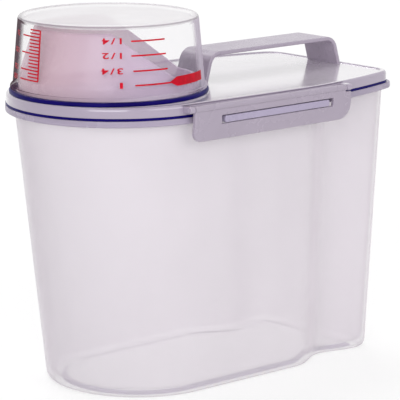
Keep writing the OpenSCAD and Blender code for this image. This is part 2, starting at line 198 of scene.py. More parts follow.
class Layout:
    """Places and outlines that follow from the sizes."""

    def __init__(self, s):
        self.s = s
        self.flange_hw = s.flange_w / 2
        self.flange_x1 = s.flange_len / 2
        self.flange_r = self.flange_hw - s.flange_bow
        self.round_x = self.flange_r - self.flange_x1
        self.widest_x = self.flange_x1 - s.widest_at
        self.lid_x1 = self.flange_x1 - s.lid_setback
        self.top_r = self.flange_r - s.flange_overhang
        self.foot_r = self.top_r - s.side_lean
        self.top_x1 = self.flange_x1 - s.end_overhang
        self.foot_x1 = self.top_x1 - s.end_lean
        self.foot_round_x = self.round_x + s.round_lean - s.side_lean
        self.grip_start_x = self.flange_x1 - s.grip_start
        self.grip_mid_x = self.flange_x1 - s.grip_mid
        self.flange_z = s.body_h - s.flange_t
        self.lid_z = s.body_h + s.gasket_t
        self.shoulder_z = self.lid_z + s.skirt_h
        self.bead_z = self.shoulder_z + s.shoulder_h
        self.panel_z = self.bead_z - s.bead_h
        self.under_z = self.panel_z - s.panel_t
        self.cup_z = self.bead_z + s.seal_t + s.run_gap
        self.latch_y = self.flange_hw + s.latch_gap
        self.hinge_y = self.latch_y + s.latch_t / 2 + s.hinge_out
        self.hinge_z = self.bead_z - s.hinge_drop
        self.latch_x0 = s.latch_mid_x - s.latch_len / 2
        self.latch_x1 = s.latch_mid_x + s.latch_len / 2
        self.barrel_x1 = self.latch_x1 - s.ear_w - s.run_gap
        self.ear_near_x = self.latch_x0 - s.run_gap - s.ear_w
        self.ear_far_x = self.latch_x1 - s.ear_w
        self.rib_z = self.flange_z - s.rib_drop
        self.rib_y = self.latch_y + s.latch_t - s.rib_inset
        self.rib_len = s.slot_len - 2 * s.rib_side_gap
        self.slot_mid_x = s.latch_mid_x + s.slot_shift
        self.slot_z = self.rib_z - s.run_gap
        self.seal_r = self.flange_r - s.seal_margin
        self.spout_x = self.seal_r + s.seat_inset + s.lid_inset - self.flange_x1
        self.cup_r = self.seal_r - s.seal_ledge
        self.cup_top_r = self.cup_r - s.cup_lean
        self.neck_r = self.cup_r - s.cup_wall - s.neck_gap
        self.handle_x0 = self.spout_x + self.seal_r + s.handle_gap
        self.handle_x1 = self.lid_x1 - s.handle_inset

    def mouth_hw(self, x):
        """Half width of the mouth at x."""
        s, d = self.s, x - self.widest_x
        bow = s.flange_bow * (d / (self.round_x - self.widest_x)) ** 2
        taper = s.end_taper * (d / s.widest_at) ** 2
        return self.flange_hw - (bow if d < 0 else taper)

    def mouth_outline(self, x1, d):
        """Outline of the flange or the lid from the end at x1, set in by d."""
        r, a = self.s.mouth_corner_r, radians(CORNER_TURN)
        cx = x1 - r
        cy = self.mouth_hw(cx + r * cos(a)) - r * sin(a)
        return bin_outline((cx, cy, r, CORNER_TURN), self.mouth_hw,
                           (self.round_x, self.flange_r), d)

    def lid_outline(self, d):
        """Outline of the lid's skirt, set in by d."""
        inset = self.s.lid_inset
        return self.mouth_outline(self.lid_x1 + inset, inset + d)

    def shoulder(self, rise, cut=0.0):
        """Ring of the lid's shoulder at a height above the skirt, cut in along the hinges."""
        s = self.s
        inset = s.shoulder_in * (1 - (1 - (rise / s.shoulder_h) ** 2) ** 0.5)
        return [(x, y - copysign(cut if self.ear_near_x < x < self.latch_x1 else 0.0, y),
                 self.shoulder_z + rise) for x, y in self.lid_outline(inset)]

    def grip_hw(self, x, w, x1):
        """Half width of the container at x, for a side at half width w that ends at x1."""
        s = self.s
        if x < self.grip_start_x:
            return w
        if x < self.grip_mid_x:
            t = (x - self.grip_start_x) / (self.grip_mid_x - self.grip_start_x)
            return w - s.grip_depth * ease(t)
        t = min(1.0, (x - self.grip_mid_x) / (x1 - self.grip_mid_x))
        return w - s.grip_depth + s.grip_return * ease(t)

    def wall_outline(self, z, d):
        """Outline of the container at height z, set in by d."""
        s = self.s
        t = z / s.body_h
        w = mix(self.foot_r, self.top_r, t)
        cx0 = mix(self.foot_round_x, self.round_x, t)
        r = s.wall_corner_r
        cx = mix(self.foot_x1, self.top_x1, t) - r
        cy = self.grip_hw(cx, w, cx) - r
        return bin_outline((cx, cy, r, 90), lambda x: self.grip_hw(x, w, cx), (cx0, w), d)

    def wall_ring(self, z, d, at=None):
        """The container's outline at height z, placed there or at another height."""
        return lifted(self.wall_outline(z, d), z if at is None else at)

    def edge_rings(self, z0, d):
        """Rings of the quarter-round edge between a floor at z0 and the wall set in by d."""
        r = self.s.foot_fillet
        return [self.wall_ring(z0 + r, d + inset, z0 + rise)
                for inset, rise in quarter_round(r, FILLET_STEPS)]

    def handle_side(self, d):
        """Arch of the handle's side above the panel, set in by d."""
        s, lean = self.s, self.s.leg_lean
        foot = (self.handle_x1 - self.handle_x0) / 2 - d / cos(lean)
        h, r = s.handle_h - d, s.handle_r - d
        cx = foot - h * tan(lean) - r * tan(pi / 4 - lean / 2)
        half = [(foot, 0.0)] + arc(cx, h - r, r, degrees(lean), 90, CORNER_STEPS)
        return half + [(-x, z) for x, z in reversed(half)]

    def cup_wall_r(self, z):
        """Outer radius of the cup at height z above its rim."""
        return self.cup_r - self.s.cup_lean * z / self.s.cup_h


# --- Shapes ---

# Number of straight pieces that each curve is made of
CORNER_STEPS = 12
SIDE_STEPS = 57
ROUND_STEPS = 44
FILLET_STEPS = 6
EDGE_STEPS = 3
TURN_STEPS = 160
BARREL_STEPS = 32

CORNER_TURN = 75  # degrees of each corner of the mouth before the bowed side takes over
MOST_REACH = 0.49  # most of an edge that the rounding of one corner may take
MERGE_DISTANCE = 1e-7
SHARP_ANGLE = radians(38)


def mix(a, b, t):
    """The value a share t of the way from a to b."""
    return a + (b - a) * t


def spaced(a, b, steps):
    """Evenly spaced values from a to b."""
    return [mix(a, b, k / steps) for k in range(steps + 1)]


def ease(t):
    """Smooth rise from 0 to 1."""
    return (1 - cos(pi * t)) / 2


def arc(cx, cy, r, start, end, steps):
    """Points of an arc whose angles are in degrees."""
    angles = [radians(a) for a in spaced(start, end, steps)]
    return [(cx + r * cos(a), cy + r * sin(a)) for a in angles]


def quarter_round(r, steps):
    """Pairs (inset, rise) along a rounded edge, from (r, 0) to (0, r)."""
    return [(r * (1 - sin(a)), r * (1 - cos(a))) for a in spaced(0, pi / 2, steps)]


def mirrored(half):
    """Closed outline from its +Y half, which runs from the +X end to the -X end."""
    return half + [(x, -y) for x, y in reversed(half[:-1])]


def bin_outline(corner, half_width, round_end, d):
    """Closed outline of the bin, set in by d: corners (x, y, radius, degrees) at the handle
    end, sides at half_width(x) and a round end (x, radius)."""
    cx, cy, r, turned = corner
    x0, end_r = round_end
    side = spaced(cx + r * cos(radians(turned)), x0, SIDE_STEPS)[1:-1]
    return mirrored(arc(cx, cy, r - d, 0, turned, CORNER_STEPS)
                    + [(x, half_width(x) - d) for x in side]
                    + arc(x0, 0, end_r - d, 90, 180, ROUND_STEPS))


def lifted(outline, z):
    """An outline at height z."""
    return [(x, y, z) for x, y in outline]


def eased(corners, steps=4):
    """Closed outline through corners (u, v, radius), each rounded by its radius."""
    points = []
    for i, (u, v, r) in enumerate(corners):
        corner = Vector((u, v))
        if r <= 0:
            points.append((u, v))
            continue
        before = Vector(corners[i - 1][:2]) - corner
        after = Vector(corners[(i + 1) % len(corners)][:2]) - corner
        half = before.angle(after) / 2
        reach = min(r / tan(half), MOST_REACH * before.length, MOST_REACH * after.length)
        before.normalize()
        after.normalize()
        radius = reach * tan(half)
        centre = corner + (before + after).normalized() * (radius / sin(half))
        start = corner + before * reach - centre
        end = corner + after * reach - centre
        a = atan2(start.y, start.x)
        sweep = (atan2(end.y, end.x) - a + pi) % (2 * pi) - pi
        for b in spaced(a, a + sweep, steps):
            points.append((centre.x + radius * cos(b), centre.y + radius * sin(b)))
    return points


def rounded_box(u0, u1, v0, v1, r):
    """Rectangle from (u0, v0) to (u1, v1) with rounded corners."""
    return eased([(u0, v0, r), (u1, v0, r), (u1, v1, r), (u0, v1, r)])


def skin(bm, rings, closed=False):
    """Skins rings that have the same number of points; returns the rows of vertices."""
    rows = [[bm.verts.new(p) for p in ring] for ring in rings]
    pairs = list(zip(rows, rows[1:])) + ([(rows[-1], rows[0])] if closed else [])
    for a, b in pairs:
        for i in range(len(a)):
            bm.faces.new((a[i - 1], a[i], b[i], b[i - 1]))
    return rows


def cap(bm, *loops):
    """Fills the flat face inside the first loop and outside the others."""
    edges = []
    for loop in loops:
        for i in range(len(loop)):
            pair = (loop[i - 1], loop[i])
            edges.append(bm.edges.get(pair) or bm.edges.new(pair))
    bmesh.ops.triangle_fill(bm, use_beauty=True, use_dissolve=False, edges=edges)


def plate(bm, loops, place, half, r, steps=EDGE_STEPS):
    """Plate of half thickness half with edges rounded by r. Each loop is a function of the
    distance it is set in by, and place puts a point (u, v, w) into the scene, w running
    through the thickness."""
    edge = quarter_round(r, steps)
    levels = [(rise - half, inset) for inset, rise in edge]
    levels += [(half - rise, inset) for inset, rise in reversed(edge)]
    rows = [skin(bm, [[place(u, v, w) for u, v in loop(inset)] for w, inset in levels])
            for loop in loops]
    cap(bm, *[r[0] for r in rows])
    cap(bm, *[r[-1] for r in rows])


def turn(bm, profile, place, steps=TURN_STEPS):
    """Turns a closed profile of (radius, height) round an axis; place puts (a, b, height)."""
    columns = []
    for i in range(steps):
        t = 2 * pi * i / steps
        points = profile(t) if callable(profile) else profile
        columns.append([(bm.verts.new(place(r * cos(t), r * sin(t), h)), r) for r, h in points])
    for i, column in enumerate(columns):
        last = columns[i - 1]
        for k in range(len(column)):
            corners = (last[k - 1], last[k], column[k], column[k - 1])
            if column[k][1] > 0 or column[k - 1][1] > 0:
                bm.faces.new([v for v, _ in corners])


def upright(x, y, z):
    """Placement for a piece turned round a vertical axis through (x, y, z)."""
    return lambda a, b, h: (x + a, y + b, z + h)


def lengthwise(y, z):
    """Placement for a piece turned round an axis along X."""
    return lambda a, b, h: (h, y + a, z + b)


def added(name, data):
    """A new object in the scene."""
    obj = bpy.data.objects.new(name, data)
    bpy.context.scene.collection.objects.link(obj)
    return obj


def piece(name, bm, looks, body, stands_for=()):
    """Turns a bmesh into an object that rides on a body; looks names its finishes."""
    bmesh.ops.remove_doubles(bm, verts=bm.verts, dist=MERGE_DISTANCE)
    bmesh.ops.recalc_face_normals(bm, faces=bm.faces)
    mesh = bpy.data.meshes.new(name)
    bm.to_mesh(mesh)
    bm.free()
    made = finishes()
    for look in looks:
        mesh.materials.append(made[look])
    mesh.shade_smooth()
    mesh.set_sharp_from_angle(angle=SHARP_ANGLE)
    obj = added(name, mesh)
    weighted = obj.modifiers.new("even_shading", "WEIGHTED_NORMAL")
    weighted.keep_sharp = True
    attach(obj, body)
    if stands_for:
        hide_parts(*stands_for)


# --- Finishes ---

NOISE_LOW, NOISE_HIGH = 0.3, 0.7  # nearly all values of a noise texture lie between these
GLOSS_SCALE = 3  # scale of the uneven gloss over that of the clouds
LEAST_ROUGHNESS = 0.02
BUMP_DEPTH = 0.2 * MM
# Along this axis the spout's tint changes and the cup's painted shade fades
TINT_AND_SHADE_AXIS = (0.66, -0.75, 0)  # level direction across the cup, away from its scale
MIX_FACTOR, MIX_A, MIX_B, MIX_RESULT = 0, 6, 7, 2  # sockets of a Mix node set to colours


def node(tree, kind, **values):
    """Adds a shader node; values name its properties or its input sockets."""
    n = tree.nodes.new(kind)
    for key, value in values.items():
        if hasattr(n, key):
            setattr(n, key, value)
        else:
            n.inputs[key.replace("_", " ")].default_value = value
    return n


def moulded(name, rgb, roughness, cloud=(18, 0.04), grain=(900, 0.02), streak=0.05, **sockets):
    """Moulded plastic: slow clouds in the colour, uneven gloss and a fine grained surface.

    cloud is the scale and depth of the colour's variation, grain those of the bump, and
    streak how far the roughness varies each way.
    """
    m = bpy.data.materials.new(name)
    m.use_nodes = True
    tree = m.node_tree
    shader = tree.nodes["Principled BSDF"]
    for key, value in sockets.items():
        shader.inputs[key.replace("_", " ")].default_value = value
    coords = node(tree, "ShaderNodeTexCoord")
    clouds = node(tree, "ShaderNodeTexNoise", Scale=cloud[0], Detail=3.0, Roughness=0.55)
    ramp = node(tree, "ShaderNodeValToRGB")
    ramp.color_ramp.interpolation = "EASE"
    for stop, place, side in zip(ramp.color_ramp.elements, (NOISE_LOW, NOISE_HIGH), (-1, 1)):
        stop.position = place
        stop.color = (*(min(1.0, c * (1 + side * cloud[1])) for c in rgb), 1)
    gloss = node(tree, "ShaderNodeTexNoise", Scale=cloud[0] * GLOSS_SCALE, Detail=4.0,
                 Roughness=0.6)
    spread = node(tree, "ShaderNodeMapRange", interpolation_type="SMOOTHSTEP",
                  From_Min=NOISE_LOW, From_Max=NOISE_HIGH,
                  To_Min=max(LEAST_ROUGHNESS, roughness - streak), To_Max=roughness + streak)
    fine = node(tree, "ShaderNodeTexNoise", Scale=grain[0], Detail=2.0)
    bump = node(tree, "ShaderNodeBump", Strength=grain[1], Distance=BUMP_DEPTH)
    link = tree.links.new
    for texture in (clouds, gloss, fine):
        link(coords.outputs["Object"], texture.inputs["Vector"])
    link(clouds.outputs["Fac"], ramp.inputs["Fac"])
    link(ramp.outputs["Color"], shader.inputs["Base Color"])
    link(gloss.outputs["Fac"], spread.inputs["Value"])
    link(spread.outputs["Result"], shader.inputs["Roughness"])
    link(fine.outputs["Fac"], bump.inputs["Height"])
    link(bump.outputs["Normal"], shader.inputs["Normal"])
    return m


def thin(m, face_on, grazing, curve=2.0, start=0.0, full=1.0):
    """Lets light through: the plastic covers a share face_on of what is behind it where it is
    seen square on, and a share grazing where it is seen edge-on, between the slants start and
    full."""
    tree = m.node_tree
    facing = node(tree, "ShaderNodeLayerWeight", Blend=0.5)
    power = node(tree, "ShaderNodeMath", operation="POWER")
    power.inputs[1].default_value = curve
    cover = node(tree, "ShaderNodeMapRange", From_Min=start, From_Max=full, To_Min=face_on,
                 To_Max=grazing)
    tree.links.new(facing.outputs["Facing"], power.inputs[0])
    tree.links.new(power.outputs[0], cover.inputs["Value"])
    tree.links.new(cover.outputs["Result"], tree.nodes["Principled BSDF"].inputs["Alpha"])


def drift(m, rgb, start, full):
    """Lets the colour change along the level axis across the cup: rgb up to start, the finish's
    own from full on; on the spout this is a tint, on the cup painted shade.
    """
    tree = m.node_tree
    shader = tree.nodes["Principled BSDF"]
    coords = node(tree, "ShaderNodeTexCoord")
    across = node(tree, "ShaderNodeVectorMath", operation="DOT_PRODUCT")
    across.inputs[1].default_value = TINT_AND_SHADE_AXIS
    share = node(tree, "ShaderNodeMapRange", interpolation_type="SMOOTHSTEP", From_Min=start,
                 From_Max=full)
    blend = node(tree, "ShaderNodeMix", data_type="RGBA")
    blend.inputs[MIX_A].default_value = (*rgb, 1)
    link = tree.links.new
    link(shader.inputs["Base Color"].links[0].from_socket, blend.inputs[MIX_B])
    link(coords.outputs["Object"], across.inputs[0])
    link(across.outputs["Value"], share.inputs["Value"])
    link(share.outputs["Result"], blend.inputs[MIX_FACTOR])
    link(blend.outputs[MIX_RESULT], shader.inputs["Base Color"])


def finishes():
    """Materials by name, made once."""
    made = {m.name: m for m in bpy.data.materials}
    if "ink_red" in made:  # the last one made
        return made
    c = bpy.context.scene.bin_colours
    satin = {"grain": (600, 0.05)}
    milky = moulded("container_milky", c.container, 0.34, cloud=(9, 0.03), **satin)
    thin(milky, 0.34, 0.95, curve=3.0)
    base = moulded("container_base", c.container, 0.4, cloud=(9, 0.03), **satin)
    thin(base, 0.10, 0.20)
    foot = moulded("foot_lilac", c.foot, 0.35, cloud=(12, 0.05), **satin)
    thin(foot, 0.6, 0.7)
    flange = moulded("flange_lilac", c.flange, 0.3, cloud=(12, 0.03), **satin)
    thin(flange, 0.85, 0.95)
    moulded("rib_milky", c.rib, 0.3, cloud=(25, 0.03), grain=(900, 0.05))
    # The lid's one plastic as a shaded copy for its sides and a lit copy for its level top:
    # painted shade and painted light
    for name, rgb in (("lid_gloss", c.lid), ("lid_panel", c.panel)):
        moulded(name, rgb, 0.16, cloud=(14, 0.02), grain=(400, 0.02), Coat_Weight=1.0,
                Coat_Roughness=0.1)
    spout = moulded("spout_tinted", c.spout, 0.25, cloud=(20, 0.05), grain=(600, 0.03))
    thin(spout, 0.5, 0.95, curve=1.5)
    drift(spout, c.spout_rosy, -65 * MM, -5 * MM)
    clear = {"cloud": (20, 0.03), "grain": (300, 0.01), "streak": 0.03}
    cup = moulded("cup_clear", c.cup, 0.10, Specular_IOR_Level=0.0, **clear)
    thin(cup, 0.045, 0.75, curve=1.0, start=0.6, full=0.74)
    # Painted shade: the cup darkens across towards its scale side
    drift(cup, c.cup_shaded_side, -85 * MM, 10 * MM)
    inside = moulded("cup_inside", c.cup, 0.10, Specular_IOR_Level=0.0, **clear)
    thin(inside, 0.045, 0.5, curve=9.0)
    # Painted light on the level faces of the cup's closed end
    end = moulded("cup_end", c.cup_end, 0.12, **clear)
    thin(end, 0.5, 0.66)
    # Painted shade along the rounded edge of the cup's closed end
    edge = moulded("cup_edge", c.cup_edge, 0.12, **clear)
    thin(edge, 0.6, 0.8)
    moulded("clasp_lilac", c.clasp, 0.28, cloud=(25, 0.03), grain=(900, 0.05),
            Specular_IOR_Level=0.6)
    moulded("seal_silicone", c.seal, 0.35, cloud=(60, 0.15), grain=(1500, 0.1),
            Specular_IOR_Level=0.05)
    moulded("ink_red", c.ink, 0.5, cloud=(300, 0.12), grain=(2500, 0.1),
            Specular_IOR_Level=0.1)
    return {m.name: m for m in bpy.data.materials}


# --- Pieces ---

CONTAINER_LOOKS = ("container_milky", "container_base", "foot_lilac", "flange_lilac")
LID_LOOKS = ("lid_gloss", "lid_panel")
CUP_LOOKS = ("cup_clear", "cup_end", "cup_edge", "cup_inside")

HEIGHT_SLACK = 0.1 * MM  # tolerance of the tests on a face's height
LEVEL, NEAR_LEVEL, SLANTED = 0.95, 0.7, 0.3  # upright share of a face's normal


def prepared(context):
    """The sizes and the layout that follows from them."""
    s = context.scene.bin_sizes
    return s, Layout(s)


def dress(name, look):
    """Gives a node of the frame its finish."""
    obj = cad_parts[name]
    obj.data.materials.clear()
    obj.data.materials.append(finishes()[look])


class BIN_OT_container(bpy.types.Operator):
    """Container with its rounded flange, pinched hand grip and foot rim"""
    bl_idname = "rice_bin.container"
    bl_label = "Container"
    bl_options = {"REGISTER", "UNDO"}

    def execute(self, context):
        s, p = prepared(context)
        neck_r, lip_r, mouth_r = 1.2 * MM, 0.7 * MM, 0.5 * MM
        rim_chamfer, step_w, wall_steps = 0.2 * MM, 2 * s.foot_h, 10
        neck, lip, mouth = (quarter_round(r, EDGE_STEPS) for r in (neck_r, lip_r, mouth_r))
        # From the step inside the foot rim, up the outside and over the flange's lip
        rim_in = s.foot_fillet + s.foot_w
        rings = [p.wall_ring(s.foot_h, rim_in + step_w), p.wall_ring(0.0, rim_in + rim_chamfer)]
        rings += p.edge_rings(0.0, 0.0)
        rings += [p.wall_ring(z, 0.0)
                  for z in spaced(s.foot_fillet, p.flange_z - neck_r, wall_steps)[1:]]
        rings += [p.wall_ring(p.flange_z, -rise, p.flange_z - inset) for inset, rise in neck[1:]]
        rings += [lifted(p.mouth_outline(p.flange_x1, inset), p.flange_z + rise)
                  for inset, rise in lip]
        rings += [lifted(p.mouth_outline(p.flange_x1, rise), s.body_h - inset)
                  for inset, rise in lip]
        # Down the inside to the floor
        rings += [p.wall_ring(s.body_h, s.wall - inset, s.body_h - rise)
                  for inset, rise in mouth]
        floor_z = s.foot_h + s.floor_t
        rings += [p.wall_ring(z, s.wall)
                  for z in spaced(s.body_h, floor_z + s.foot_fillet, wall_steps)[1:-1]]
        rings += reversed(p.edge_rings(floor_z, s.wall))
        bm = bmesh.new()
        rows = skin(bm, rings)
        walls = len(bm.faces)
        cap(bm, rows[0])
        cap(bm, rows[-1])
        for i, face in enumerate(bm.faces):
            look = "container_milky"
            if i < len(rings[0]):
                look = "foot_lilac"
            elif i >= walls:
                look = "container_base"
            elif min(v.co.z for v in face.verts) > p.flange_z - HEIGHT_SLACK:
                look = "flange_lilac"
            face.material_index = CONTAINER_LOOKS.index(look)
        piece("container_shell", bm, CONTAINER_LOOKS, "bin", ["container_body"])

        bm = bmesh.new()
        root = p.flange_hw - s.flange_overhang
        rib_edge = 0.4 * MM
        corner_r = MM
        for side in (-1, 1):

            def place(u, v, w, side=side):
                return (p.slot_mid_x + u, side * ((root + p.rib_y) / 2 + w), v)

            def outline(d):
                u, z0, z1 = p.rib_len / 2 - d, p.rib_z + d, p.rib_z + s.rib_h - d
                return rounded_box(-u, u, z0, z1, corner_r)

            plate(bm, [outline], place, (p.rib_y - root) / 2, rib_edge)
        piece("locking_ribs", bm, ["rib_milky"], "bin", ["container_body"])
        return {"FINISHED"}


class BIN_OT_lid(bpy.types.Operator):
    """Lid with its skirt, rounded shoulder, bead, flat panel, spout seat and hinge ears"""
    bl_idname = "rice_bin.lid"
    bl_label = "Lid"
    bl_options = {"REGISTER", "UNDO"}

    def execute(self, context):
        s, p = prepared(context)
        edge_r, groove_taper, groove_share = 0.4 * MM, 0.02 * MM, 0.55
        # Up the skirt and the shoulder with its groove, over the bead and down to the panel
        rings = [lifted(p.lid_outline(s.skirt_t), z) for z in (p.under_z, p.lid_z)]
        rings += [lifted(p.lid_outline(inset), p.lid_z + rise)
                  for inset, rise in quarter_round(edge_r, EDGE_STEPS)]
        low = groove_share * s.shoulder_h
        high = low + s.groove_w
        rings += [p.shoulder(rise) for rise in spaced(0, low, 4)]
        rings += [p.shoulder(low + groove_taper, s.groove_depth),
                  p.shoulder(high - groove_taper, s.groove_depth)]
        rings += [p.shoulder(mix(high, s.shoulder_h, t)) for t in (0, 0.3, 0.6, 0.8, 0.93, 1)]
        edge = s.shoulder_in + s.bead_w
        rings += [lifted(p.lid_outline(edge + s.bead_h * t), mix(p.bead_z, p.panel_z, ease(t)))
                  for t in spaced(0, 1, 4)]
        bm = bmesh.new()
        rows = skin(bm, rings)
        hole_r = p.neck_r + s.seal_gap
        for row, z in ((rows[0], p.under_z), (rows[-1], p.panel_z)):
            ring = [bm.verts.new((p.spout_x + x, y, z))
                    for x, y in arc(0, 0, hole_r, 0, 360, TURN_STEPS)[:-1]]
            cap(bm, row, ring)
        seat_rise, seat_edge = 0.02 * MM, 0.3 * MM
        seat = eased([(hole_r, p.under_z, 0), (p.seal_r, p.under_z, 0),
                      (p.seal_r, p.bead_z, seat_edge), (hole_r, p.bead_z, 0)])
        turn(bm, seat, upright(p.spout_x, 0, seat_rise))

        low = s.body_h - s.plug_h
        root_z = p.under_z + MM
        outer = s.wall + s.plug_gap
        inner = outer + s.plug_t
        skin(bm, [lifted(p.wall_outline(low, d), z) for d, z in
                  ((outer, root_z), (outer, low + edge_r), (outer + edge_r, low),
                   (inner - edge_r, low), (inner, low + edge_r), (inner, root_z))], closed=True)

        root = p.mouth_hw(p.latch_x1) - s.lid_inset - s.skirt_t
        ear_gap, ear_edge = 0.05 * MM, 0.35 * MM
        for side in (-1, 1):
            for x in (p.ear_near_x, p.ear_far_x):

                def place(u, v, w, side=side, x=x):
                    return (x + s.ear_w / 2 + w, side * u, v)

                def outline(d):
                    b = s.barrel_r - d
                    return ([(root, p.hinge_z - b)]
                            + arc(p.hinge_y, p.hinge_z, b, -90, 90, CORNER_STEPS)
                            + [(root, p.hinge_z + b)])

                plate(bm, [outline], place, s.ear_w / 2 - ear_gap, ear_edge)
        bm.normal_update()
        # Level faces on top take the lid's painted light, all other faces its painted shade
        for face in bm.faces:
            on_top = face.calc_center_median().z > p.panel_z - HEIGHT_SLACK
            look = "lid_panel" if on_top and abs(face.normal.z) > LEVEL else "lid_gloss"
            face.material_index = LID_LOOKS.index(look)
        piece("lid_shell", bm, LID_LOOKS, "bin", ["lid"])
        for name in ("near_hinge_rod", "far_hinge_rod"):
            dress(name, "clasp_lilac")
        return {"FINISHED"}


class BIN_OT_seals(bpy.types.Operator):
    """Seal under the lid and rounded seal round the spout"""
    bl_idname = "rice_bin.seals"
    bl_label = "Seals"
    bl_options = {"REGISTER", "UNDO"}

    def execute(self, context):
        s, p = prepared(context)
        inner = p.neck_r + s.collar_out + s.seal_gap
        inner_low_r, inner_high_r, crown_share = 0.3 * MM, 0.4 * MM, 1.3
        bm = bmesh.new()
        bead = eased([(inner, 0, inner_low_r), (p.seal_r, 0, s.seal_bevel),
                      (p.seal_r, s.seal_t, s.seal_bevel * crown_share),
                      (inner, s.seal_t, inner_high_r)])
        turn(bm, bead, upright(p.spout_x, 0, p.bead_z))
        piece("spout_seal_ring", bm, ["seal_silicone"], "bin", ["spout_seal"])

        # The lid's seal stands proud of the skirt and covers a little of it and of the flange
        proud, over_skirt, over_flange = 0.2 * MM, 0.25 * MM, 0.05 * MM
        depth, r = 3 * MM, 0.25 * MM
        low, high = s.body_h - over_flange, p.lid_z + over_skirt
        bm = bmesh.new()
        skin(bm, [lifted(p.lid_outline(d), z) for d, z in
                  ((depth, low), (r - proud, low), (-proud, low + r), (-proud, high - r),
                   (r - proud, high), (depth, high))], closed=True)
        piece("lid_seal_bead", bm, ["seal_silicone"], "bin", ["lid_seal"])
        return {"FINISHED"}


class BIN_OT_spout(bpy.types.Operator):
    """Pour spout with its slanted mouth and rounded lip"""
    bl_idname = "rice_bin.spout"
    bl_label = "Pour spout"
    bl_options = {"REGISTER", "UNDO"}

    def execute(self, context):
        s, p = prepared(context)
        low = s.neck_h - s.mouth_drop
        slope = tan(s.spout_slope)
        lean = s.spout_lean / (s.spout_h - s.neck_h)
        halvings, wall_steps, lip_steps = 40, 24, 6

        def wall_r(z, inset):
            """Radius at height z above the lid's bead, of the wall set in by inset."""
            return p.neck_r - inset - max(0.0, z - s.neck_h) * lean

        def rim_h(t, inset):
            """Height of the mouth in the direction t, on the wall set in by inset."""
            along = cos(t - s.spout_turn)
            if along >= 0:
                return s.spout_h
            a, b = low, s.spout_h
            for _ in range(halvings):
                z = (a + b) / 2
                if z > s.spout_h + wall_r(z, inset) * along * slope:
                    b = z
                else:
                    a = z
            return (a + b) / 2

        def profile(t):
            """The wall's section in the direction t, up the outside and down the inside."""
            w = s.spout_wall
            bottom = p.under_z - p.bead_z
            collar = p.neck_r + s.collar_out
            out = [(p.neck_r - w, bottom), (p.neck_r, bottom), (p.neck_r, 0), (collar, 0),
                   (collar, s.collar_t), (p.neck_r, s.collar_t)]
            lip_h = 0.45 * w
            top, inner_top = rim_h(t, 0), rim_h(t, w)
            out += [(wall_r(z, 0), z) for z in spaced(s.collar_t, top - lip_h, wall_steps)[1:]]
            for share in spaced(0, 1, lip_steps)[1:-1]:
                a = pi * share
                z = mix(top, inner_top, share) - lip_h * (1 - sin(a))
                out.append((wall_r(z, w / 2 * (1 - cos(a))), z))
            return out + [(wall_r(z, w), z) for z in spaced(inner_top - lip_h, 0, wall_steps)]

        bm = bmesh.new()
        turn(bm, profile, upright(p.spout_x, 0, p.bead_z))
        piece("slanted_spout", bm, ["spout_tinted"], "bin", ["pour_spout"])
        return {"FINISHED"}


class BIN_OT_cup(bpy.types.Operator):
    """Clear measuring cup that stands upside down over the spout"""
    bl_idname = "rice_bin.cup"
    bl_label = "Measuring cup"
    bl_options = {"REGISTER", "UNDO"}

    def execute(self, context):
        s, p = prepared(context)
        w = s.cup_wall
        rim = p.cup_r + s.cup_rim_out
        floor = s.cup_h - s.cup_recess
        ring = p.cup_top_r - s.cup_ring_w
        r, root_r = 0.5 * MM, 0.3 * MM
        inner = p.cup_top_r - w
        corners = [(p.cup_r - w, 0, r), (rim, 0, r), (rim, s.cup_rim_t, r),
                   (p.cup_wall_r(s.cup_rim_t), s.cup_rim_t, root_r),
                   (p.cup_top_r, s.cup_h, s.cup_edge_r), (ring, s.cup_h, r),
                   (ring - s.cup_recess, floor, r), (0, floor, 0), (0, floor - w, 0),
                   (inner, floor - w, w)]
        bm = bmesh.new()
        turn(bm, eased(corners, 6), upright(p.spout_x, 0, p.cup_z))
        bmesh.ops.recalc_face_normals(bm, faces=bm.faces)
        axis = Vector((p.spout_x, 0, 0))
        for face in bm.faces:
            middle = face.calc_center_median()
            high = middle.z > p.cup_z + floor - 2 * w
            look = "cup_clear"
            # Level faces of the closed end take the painted light
            if high and abs(face.normal.z) > NEAR_LEVEL:
                look = "cup_end"
            # The slanted upper edge of the closed end takes the painted shade
            elif high and face.normal.z > SLANTED:
                look = "cup_edge"
            elif not high and face.normal.dot(middle - axis) < 0:
                look = "cup_inside"
            face.material_index = CUP_LOOKS.index(look)
        piece("clear_cup", bm, CUP_LOOKS, "cup", ["measuring_cup"])
        return {"FINISHED"}


# Print on the cup. Directions are in degrees, other sizes in millimetres, and heights are
# above the cup's rim.
FRACTIONS = (  # figures, their width and direction; height, start and end of their line
    ("1/4", 10, -127.3, 30.1, -115.6, -92.8),
    ("1/2", 10, -127.3, 22.8, -115.6, -92.5),
    ("3/4", 11, -127.3, 15.1, -114.7, -91.8),
    ("1", 1.6, -122, 7.9, -113.8, -90),
)
FRACTION_H, FRACTION_RISE, LINE_T = 2.9, 0.2, 0.8
BANNER_TIP, BANNER_START, BANNER_END = -91, -85.2, -56
BANNER_Z, BANNER_H = 8.1, 4.8
SCALE_TOP, SCALE_TICKS, TICK_T = 33.6, 16, 0.72
SCALE_LABELS = {2: "50", 7: "100", 12: "150", 15: "180"}  # by tick, counted from the top
SPINE_START, SPINE_END = -175.2, -176.5
TICK_START, TICK_END, LONG_TICK_END = -175.6, -186, -195
LABEL_AT, LABEL_H, LABEL_PITCH = -204, 2.6, 2.3
STROKE_STEP = 1.5  # degrees of ink between two rows of vertices
CAP_H = 0.69  # height of the font's figures at size 1
BOLDER, WIDER_SPACING, CURVE_STEPS = 0.03, 1.25, 4


